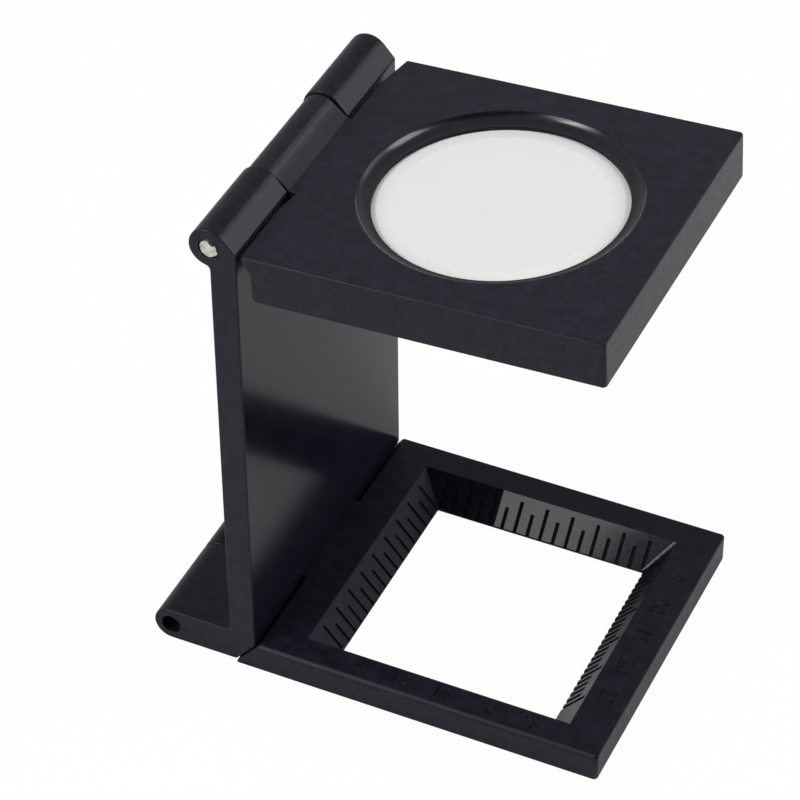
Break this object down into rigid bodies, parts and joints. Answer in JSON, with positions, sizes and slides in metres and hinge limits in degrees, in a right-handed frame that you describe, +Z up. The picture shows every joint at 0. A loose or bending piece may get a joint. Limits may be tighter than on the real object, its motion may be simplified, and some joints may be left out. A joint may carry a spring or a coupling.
{
  "type": "linen tester",
  "caption": "Folding linen tester: a lens plate on an upright over a bevelled square counting window with engraved inch and millimetre scales.",
  "frame": {"origin": "middle of the footprint, on the plane that the counting frame stands on", "axes": "+Z up along the upright, +X from the upright towards the open front of the counting frame, Y along the hinge axes"},
  "size_m": [0.0534, 0.0384, 0.0602],
  "materials": {
    "frame_plastic": "fine matt, moulded",
    "upright_plastic": "satin, moulded",
    "plate_plastic": "fine matt, moulded",
    "ring_plastic": "semi-gloss, moulded",
    "lens_glass": "polished",
    "pin_steel": "plain, cut ends"
  },
  "bodies": {
    "base": {"base_frame": "frame_plastic"},
    "upright": {"upright": "upright_plastic", "upper_hinge_pin": "pin_steel", "lower_hinge_pin": "pin_steel"},
    "lens_holder": {"lens_plate": "plate_plastic", "lens": "lens_glass", "lens_ring": "ring_plastic"}
  },
  "joints": [
    {"name": "upright_fold", "type": "hinge", "parent": "base", "child": "upright", "pos_m": [-0.02463, 0, 0.00245], "axis": [0, -1, 0], "range_deg": [0, 266]},
    {"name": "lens_fold", "type": "hinge", "parent": "upright", "child": "lens_holder", "pos_m": [-0.01723, 0, 0.05795], "axis": [0, -1, 0], "range_deg": [0, 267]}
  ]
}
